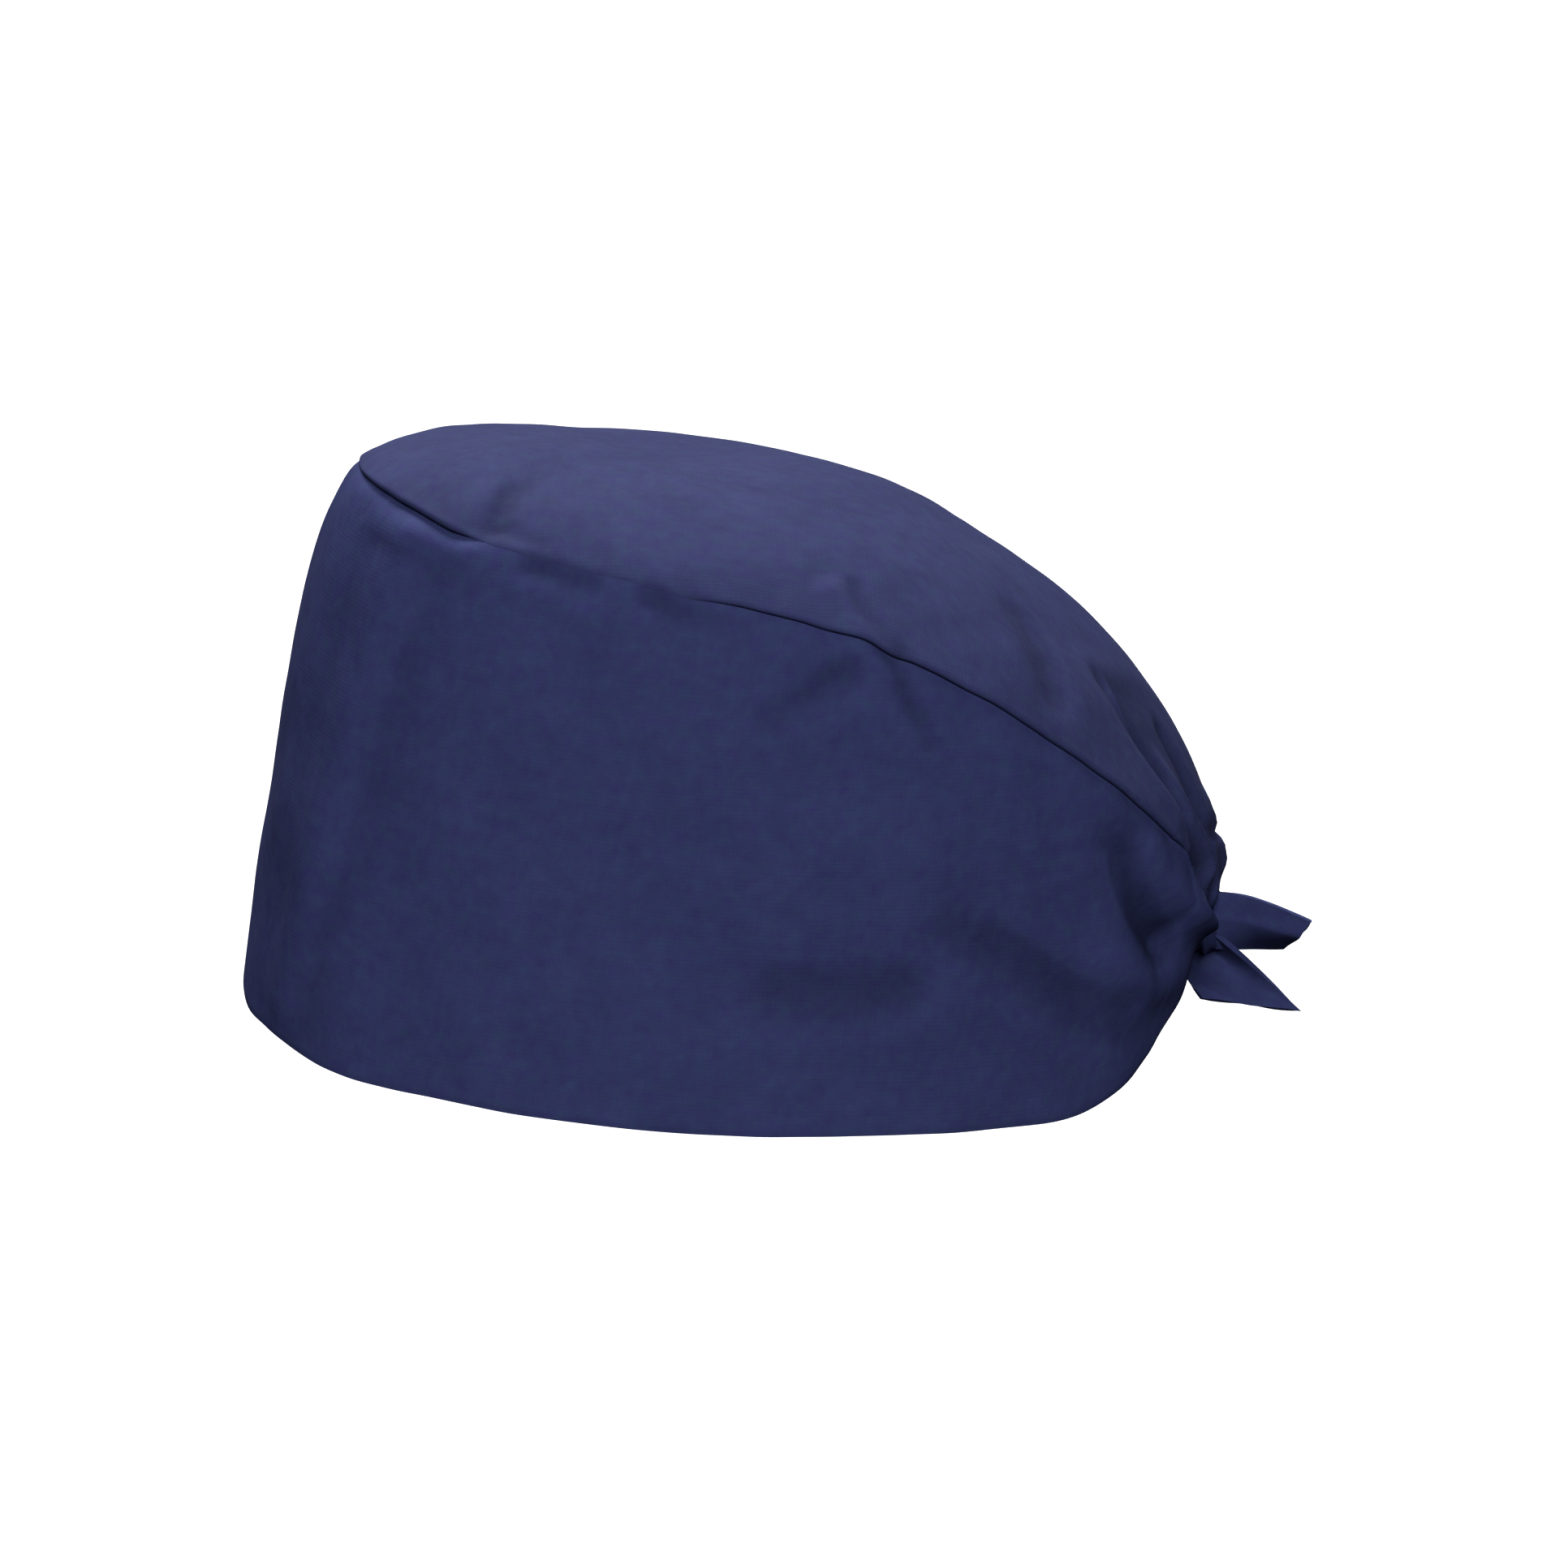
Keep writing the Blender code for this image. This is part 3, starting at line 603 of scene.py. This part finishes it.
# The knot's form, where it differs from the plain lump of the CAD model
KNOT_CUTS = 47
KNOT_FLAT = 0.36         # half its depth, as a share of KNOT_DEPTH
KNOT_FORWARD = 0.0018    # how far it lies in front of the crown's hem, in metres
KNOT_TAPER = 0.42        # share of its width that it loses towards the rear
TAPER_START = -0.35      # where that begins, from -1 at its front to 1 at its rear
KNOT_TOP = 1.32          # how much taller its upper half is drawn
WRAP_HALF = 0.40         # half the width of the wrap round its middle, as a share of half its own
WRAP_EDGE = 26           # how sharply the wrap ends
GROOVE_PLACE = 0.47      # place of the grooves beside the wrap, in the same shares
GROOVE_WIDTH = 0.07

# Its girth, and what adds to it or takes from it, as shares of its size
GIRTH = 0.84
WRAP_RISE = 0.14
GROOVE_DEPTH = 0.10
PLEAT_HEIGHT = 0.055
LUMP_HEIGHT = 0.03
STRAND_HEIGHT = 0.022
PLEATS_ROUND = 7         # pleats round it
LUMPS_ROUND = 3
STRAND_TURN = 17         # radians of the strands' wave over half its width


def add_knot(material):
    """One turn of the tie drawn tight round the band's two pleated ends"""
    bpy.ops.object.select_all(action="DESELECT")
    bpy.ops.mesh.primitive_cube_add(size=2)
    piece = bpy.context.active_object
    piece.name = "knot_cloth"
    piece.data.name = "knot_cloth"
    bpy.ops.object.mode_set(mode="EDIT")
    bpy.ops.mesh.select_all(action="SELECT")
    bpy.ops.mesh.subdivide(number_cuts=KNOT_CUTS)
    bpy.ops.object.mode_set(mode="OBJECT")
    mesh = piece.data
    places = np.empty(len(mesh.vertices) * 3)
    mesh.vertices.foreach_get("co", places)
    x, y, z = places.reshape(-1, 3).T
    round_by = (np.abs(x) ** 5 + np.abs(y) ** 3 + np.abs(z) ** 3) ** (1 / 3.4)
    x, y, z = x / round_by, y / round_by, z / round_by
    angle = np.arctan2(z, y)
    aside = np.abs(x + 0.06 * np.sin(angle))
    wrap = 1 / (1 + np.exp((aside - WRAP_HALF) * WRAP_EDGE))
    groove = np.exp(-((aside - GROOVE_PLACE) / GROOVE_WIDTH) ** 2)
    pleats = np.sin(angle * PLEATS_ROUND + 2.5 * x) * PLEAT_HEIGHT
    pleats = pleats + np.sin(angle * LUMPS_ROUND + 1.0) * LUMP_HEIGHT
    strands = np.sin(x * STRAND_TURN + 1.5 * np.sin(angle)) * STRAND_HEIGHT
    girth = GIRTH + WRAP_RISE * wrap - GROOVE_DEPTH * groove
    girth = girth + pleats * (1 - wrap) + strands * wrap
    middle = knot_middle()
    ends = plain(np.array([end_turn()]), np.array([0.0, 1.0]))
    high = middle[2] + KNOT_HEIGHT / 2 * z * girth * np.where(z > 0, KNOT_TOP, 1)
    share = (high - ends[0, 2]) / (ends[1, 2] - ends[0, 2])
    half = ends[0, 0] + (ends[1, 0] - ends[0, 0]) * share - CLEARANCE
    deep = KNOT_DEPTH * KNOT_FLAT * y * girth
    half = half * (1 - KNOT_TAPER * np.clip(y - TAPER_START, 0, 1))
    shaped = np.stack([half * x, middle[1] - KNOT_FORWARD + deep, high], axis=-1)
    mesh.vertices.foreach_set("co", shaped.ravel())
    corners = np.empty(len(mesh.loops), np.int32)
    mesh.loops.foreach_get("vertex_index", corners)
    cut = np.stack([shaped[:, 0], angle * KNOT_HEIGHT / 2], axis=-1)
    mesh.uv_layers[0].name = "cut"
    mesh.uv_layers["cut"].data.foreach_set("uv", cut[corners].ravel())
    mesh.update()
    select_only(piece)
    bpy.ops.object.shade_smooth()
    mesh.materials.append(material)
    return piece


# Sections of the tails from the knot to the cut end, close to those of the CAD model. reach is a
# share of TAIL_REACH behind the knot and high one of TAIL_DROP above its foot. The rest are shares of
# KNOT_WIDTH: aside is how far the top edge lies to the wearer's left, tilt how much further the lower
# edge does, curl how far the lower part curls under, and brim how far the top edge stands out
Section = namedtuple("Section", "reach_top high_top reach_low high_low aside curl tilt brim")
UPPER_TAIL = (
    Section(-0.36, 1.24, -0.36, 0.14, 0.36, 0.10, -0.03, 0.00),
    Section(0.01, 1.20, 0.01, 0.07, 0.42, 0.28, -0.09, 0.00),
    Section(0.33, 1.06, 0.24, 0.03, 0.43, 0.36, -0.14, 0.00),
    Section(0.65, 0.86, 0.46, 0.02, 0.43, 0.37, -0.17, 0.00),
    Section(0.90, 0.70, 0.60, 0.03, 0.42, 0.34, -0.18, 0.00),
)
LOWER_TAIL = (
    Section(-0.30, 0.42, -0.98, 0.04, 0.00, 0.02, 0.10, 0.34),
    Section(-0.05, 0.10, -0.83, -0.12, -0.04, 0.04, 0.16, 0.30),
    Section(0.26, -0.35, -0.69, -0.42, -0.08, 0.08, 0.20, 0.12),
    Section(0.58, -0.82, -0.57, -0.70, -0.13, 0.10, 0.22, 0.02),
    Section(0.86, -1.24, -0.45, -0.91, -0.18, 0.05, 0.28, 0.00),
)
TAIL_COLUMNS = 44
TAIL_ROWS = 30
CURL_START = 0.44        # share of a tail's height, from its top, at which it starts to curl under
CURL_BEND = 1.15         # how gently it starts to: 1 is a fold
BRIM_END = 0.35          # share of a tail's height that its brim takes up
BRIM_BEND = 1.3
BELLY_SHARE = 0.06       # how far a tail bulges halfway down, as a share of its curl

# Ripples of the tails: height in metres, then radians down a tail and along it
Ripple = namedtuple("Ripple", "height down along")
RIPPLES = (
    Ripple(0.00018, 9, 5),
    Ripple(0.00012, 4, -11),
)


def add_tail(name, sections, material):
    """A tail of the tie, folded cloth with a curl along its length and a slanting cut"""
    middle = knot_middle()
    back = middle[1] + KNOT_DEPTH / 2 + CLEARANCE
    foot = middle[2] - KNOT_HEIGHT / 2
    run = np.linspace(0, 1, TAIL_COLUMNS + 1)
    row = through(sections, run * (len(sections) - 1))
    value = {field: row[:, i] for i, field in enumerate(Section._fields)}
    aside = value["aside"] * KNOT_WIDTH
    top = np.stack([aside, back + value["reach_top"] * TAIL_REACH,
                    foot + value["high_top"] * TAIL_DROP], axis=-1)
    tilted = aside + value["tilt"] * KNOT_WIDTH
    low = np.stack([tilted, back + value["reach_low"] * TAIL_REACH,
                    foot + value["high_low"] * TAIL_DROP], axis=-1)
    t = np.linspace(0, 1, TAIL_ROWS + 1)
    under = np.clip((t - CURL_START) / (1 - CURL_START), 0, 1) ** CURL_BEND
    swing = value["curl"][:, None] * KNOT_WIDTH * (BELLY_SHARE * np.sin(np.pi * t) - under)
    brim = value["brim"][:, None] * KNOT_WIDTH
    swing = swing + brim * np.clip(1 - t / BRIM_END, 0, 1) ** BRIM_BEND
    for ripple in RIPPLES:
        swing = swing + ripple.height * np.sin(t * ripple.down + run[:, None] * ripple.along)
    grid = top[:, None] * (1 - t)[:, None] + low[:, None] * t[:, None]
    grid[..., 0] += swing
    cut = np.stack([run_lengths(grid, 0), run_lengths(grid, 1)], axis=-1)
    return add_sheet(name, grid, cut, 0 * grid[..., 0], TAPE, 0, material)


def linear(hex_colour):
    """An sRGB hex colour as linear red, green, blue and alpha"""
    parts = [int(hex_colour[i:i + 2], 16) / 255 for i in (1, 3, 5)]
    return [p / 12.92 if p <= 0.04045 else ((p + 0.055) / 1.055) ** 2.4 for p in parts] + [1]


def add_node(tree, kind, settings=(), **links):
    """A node with its settings, and links to its inputs by name"""
    node = tree.nodes.new(kind)
    for key, value in dict(settings).items():
        if key in node.inputs.keys():
            node.inputs[key].default_value = value
        elif key.isdigit():
            node.inputs[int(key)].default_value = value
        else:
            setattr(node, key, value)
    for key, source in links.items():
        place = int(key[1:]) if key[1:].isdigit() else key.replace("_", " ")
        tree.links.new(source, node.inputs[place])
    return node


# The poplin's pattern
THREAD_PITCH = 0.0009    # metres between the threads as drawn
THREAD_RELIEF = 0.00012  # their height in metres
WAVE_TURN = 0.314        # the wave texture's scale for bands 1 m apart
CREASE_SHADE = -0.46     # painted shade: change of the colour's value deep inside the folds, where 1 is unchanged


def poplin(name, deep, bright, bloom, turned=0.0):
    """Woven poly-cotton poplin, dyed navy and washed: matt, with a faint bloom of loose fibre.
    Its threads lie 0.3 mm apart, too fine to show, and are drawn 0.9 mm apart and faint. deep and
    bright are its darkest and lightest dye, and turned is how its grain lies on the cut"""
    material = bpy.data.materials.new(name)
    material.use_nodes = True
    tree = material.node_tree
    shader = tree.nodes["Principled BSDF"]
    shader.inputs["Metallic"].default_value = 0
    shader.inputs["IOR"].default_value = 1.5
    shader.inputs["Specular IOR Level"].default_value = 0.06
    shader.inputs["Sheen Weight"].default_value = bloom
    shader.inputs["Sheen Roughness"].default_value = 0.5
    shader.inputs["Sheen Tint"].default_value = linear("#C9CDEB")
    cut = add_node(tree, "ShaderNodeUVMap", {"uv_map": "cut"}).outputs["UV"]
    # threads: one wave along the cloth and one across it, 0.9 mm apart
    grain = add_node(tree, "ShaderNodeMapping", {"Rotation": (0, 0, turned)}, Vector=cut)
    grain = grain.outputs["Vector"]
    thread = {"wave_type": "BANDS", "Scale": WAVE_TURN / THREAD_PITCH, "Distortion": 0.6, "Detail": 1.0}
    warp = add_node(tree, "ShaderNodeTexWave", {**thread, "bands_direction": "X"}, Vector=grain)
    weft = add_node(tree, "ShaderNodeTexWave", {**thread, "bands_direction": "Y"}, Vector=grain)
    weave = add_node(tree, "ShaderNodeMath", {"operation": "MULTIPLY"},
                     _0=warp.outputs["Fac"], _1=weft.outputs["Fac"]).outputs[0]
    # slubs: thicker stretches of thread, 12 mm long and 0.8 mm wide, in both directions
    along = add_node(tree, "ShaderNodeMapping", {"Scale": (80, 1200, 1)}, Vector=grain)
    across = add_node(tree, "ShaderNodeMapping", {"Scale": (1200, 80, 1)}, Vector=grain)
    streak = {"Scale": 1.0, "Detail": 2.0}
    slub_a = add_node(tree, "ShaderNodeTexNoise", streak, Vector=along.outputs["Vector"])
    slub_b = add_node(tree, "ShaderNodeTexNoise", streak, Vector=across.outputs["Vector"])
    slubs = add_node(tree, "ShaderNodeMath", {"operation": "ADD"},
                     _0=slub_a.outputs["Fac"], _1=slub_b.outputs["Fac"]).outputs[0]
    # dye: soft patches some 15 mm across, where washing took a little colour
    patches = add_node(tree, "ShaderNodeTexNoise", {"Scale": 65, "Detail": 3.0, "Roughness": 0.6},
                       Vector=cut).outputs["Fac"]
    cloth = add_node(tree, "ShaderNodeMapRange", {"From Min": 0.3, "From Max": 0.7},
                     Value=patches).outputs["Result"]
    base = add_node(tree, "ShaderNodeMix", {"data_type": "RGBA", "6": linear(deep),
                                            "7": linear(bright)}, _0=cloth).outputs[2]
    # heather: the fibres took the dye unevenly, in flecks some 3 mm across
    flecks = add_node(tree, "ShaderNodeTexNoise", {"Scale": 330, "Detail": 3.0, "Roughness": 0.6},
                      Vector=cut).outputs["Fac"]
    hue = add_node(tree, "ShaderNodeMapRange", {"From Min": 0.3, "From Max": 0.7,
                                                "To Min": 0.488, "To Max": 0.512}, Value=flecks)
    heather = add_node(tree, "ShaderNodeTexNoise", {"Scale": 210, "Detail": 3.0, "Roughness": 0.65},
                       Vector=grain).outputs["Fac"]
    mottle = add_node(tree, "ShaderNodeMath", {"operation": "MULTIPLY_ADD", "1": 0.34, "2": 0.72},
                      _0=heather).outputs[0]
    fibre = add_node(tree, "ShaderNodeMath", {"operation": "MULTIPLY_ADD", "1": 0.10},
                     _0=slubs, _2=mottle).outputs[0]
    woven = add_node(tree, "ShaderNodeMath", {"operation": "MULTIPLY_ADD", "1": 0.05},
                     _0=weave, _2=fibre).outputs[0]
    # creases: the deepest folds are drawn at about half the colour's value. Worn cloth keeps more dye
    # there,
    # but how much is a guess: most of this darkening is painted shade, standing in for shade the lights
    # don't give
    fold_dye_and_shade = add_node(tree, "ShaderNodeAttribute", {"attribute_name": "fold_dye_and_shade"}).outputs["Fac"]
    value = add_node(tree, "ShaderNodeMath", {"operation": "MULTIPLY_ADD", "1": CREASE_SHADE},
                     _0=fold_dye_and_shade, _2=woven).outputs[0]
    tinted = add_node(tree, "ShaderNodeHueSaturation", Color=base, Value=value,
                      Hue=hue.outputs["Result"]).outputs["Color"]
    tree.links.new(tinted, shader.inputs["Base Color"])
    matt = add_node(tree, "ShaderNodeMapRange", {"From Min": 0.6, "From Max": 1.4,
                                                 "To Min": 0.74, "To Max": 0.88}, Value=slubs)
    tree.links.new(matt.outputs["Result"], shader.inputs["Roughness"])
    height = add_node(tree, "ShaderNodeMath", {"operation": "MULTIPLY_ADD", "1": 0.5},
                      _0=slubs, _2=weave).outputs[0]
    bump = add_node(tree, "ShaderNodeBump", {"Strength": 0.18, "Distance": THREAD_RELIEF},
                    Height=height)
    tree.links.new(bump.outputs["Normal"], shader.inputs["Normal"])
    return material


def finish_piece(piece, slot, *nodes):
    """A piece rides on the cap's one body, in place of its CAD nodes"""
    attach(piece, "root")
    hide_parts(*nodes)


crown_poplin = poplin("navy_poplin_crown", "#2F3359", "#33385F", 0.012)
band_poplin = poplin("navy_poplin_band", "#2F345D", "#333963", 0.003)
tie_poplin = poplin("navy_poplin_tie", "#2E335B", "#323861", 0.003, turned=0.6)

band = add_band(band_poplin)
crown = add_crown(crown_poplin)
knot = add_knot(tie_poplin)
upper = add_tail("upper_tail_cloth", UPPER_TAIL, tie_poplin)
lower = add_tail("lower_tail_cloth", LOWER_TAIL, tie_poplin)
finish_piece(band, "band_poplin", "side_band")
finish_piece(crown, "crown_poplin", "crown_panel")
finish_piece(knot, "tie_poplin", "tie_knot")
finish_piece(upper, "tie_poplin", "tie_tail_upper")
finish_piece(lower, "tie_poplin", "tie_tail_lower")


FLOOR = -0.6             # height of the floor, in metres, far below the cap
FLOOR_SIZE = 200


def add_floor():
    """A pale floor, well below the cap, which hangs as on a head. It sends no light back up, so
    that the cloth keeps its shade under the folds, and holds none back from the low far light"""
    bpy.ops.object.select_all(action="DESELECT")
    bpy.ops.mesh.primitive_plane_add(size=FLOOR_SIZE, location=(0, 0, FLOOR))
    floor = bpy.context.active_object
    floor.name = "floor"
    bpy.ops.object.transform_apply(location=True, rotation=True, scale=True)
    paint = bpy.data.materials.new("matt_floor_paint")
    paint.use_nodes = True
    shader = paint.node_tree.nodes["Principled BSDF"]
    shader.inputs["Base Color"].default_value = linear("#FBFBFB")
    shader.inputs["Roughness"].default_value = 0.9
    shader.inputs["Specular IOR Level"].default_value = 0.1
    floor.data.materials.append(paint)
    floor.visible_diffuse = False
    floor.visible_shadow = False
    floor.visible_glossy = False


def add_light(name, energy, turned, height, softness):
    """A wide studio light, far off. turned is how far round it stands from the wearer's left
    towards the nape, and height how far up, both in degrees, as softness is"""
    light = bpy.data.lights.new(name, "SUN")
    light.energy = energy
    light.angle = math.radians(softness)
    lamp = bpy.data.objects.new(name, light)
    round_by = math.radians(turned)
    raised = math.radians(height)
    lamp.location = (
        math.cos(raised) * math.cos(round_by),
        math.cos(raised) * math.sin(round_by),
        math.sin(raised),
    )
    lamp.rotation_euler = (-lamp.location).to_track_quat("-Z", "Y").to_euler()
    bpy.context.scene.collection.objects.link(lamp)


add_floor()

# The lights are fitted to the photograph: one from beside its camera and one from above on the far
# side. The low far light shows the side that it hides, and the fill lifts the darkest shade a little
add_light("soft_front", 2.85, -3, 29, 24)
add_light("soft_back", 4.2, 194, 60, 30)
add_light("soft_far", 1.6, 178, -13, 20)
add_light("soft_fill", 0.16, 30, 75, 170)

# White all round, for the camera only: it sends the cloth no light
world = bpy.data.worlds.new("studio")
world.use_nodes = True
world.node_tree.nodes["Background"].inputs["Color"].default_value = (1, 1, 1, 1)
world.cycles_visibility.diffuse = False
world.cycles_visibility.glossy = False
bpy.context.scene.world = world
bpy.context.scene.view_settings.view_transform = "Standard"

# The camera of the photograph: on the wearer's left, 1 m away and 12 degrees above the cap's middle
AIM = Vector((0, 0.01475, 0.061))
ABOVE = math.radians(12)
DISTANCE = 1.0
LENS = 100
lens = bpy.data.cameras.new("camera")
lens.lens = LENS
camera = bpy.data.objects.new("camera", lens)
camera.location = AIM + Vector((math.cos(ABOVE), 0, math.sin(ABOVE))) * DISTANCE
camera.rotation_euler = (AIM - camera.location).to_track_quat("-Z", "Y").to_euler()
bpy.context.scene.collection.objects.link(camera)
bpy.context.scene.camera = camera
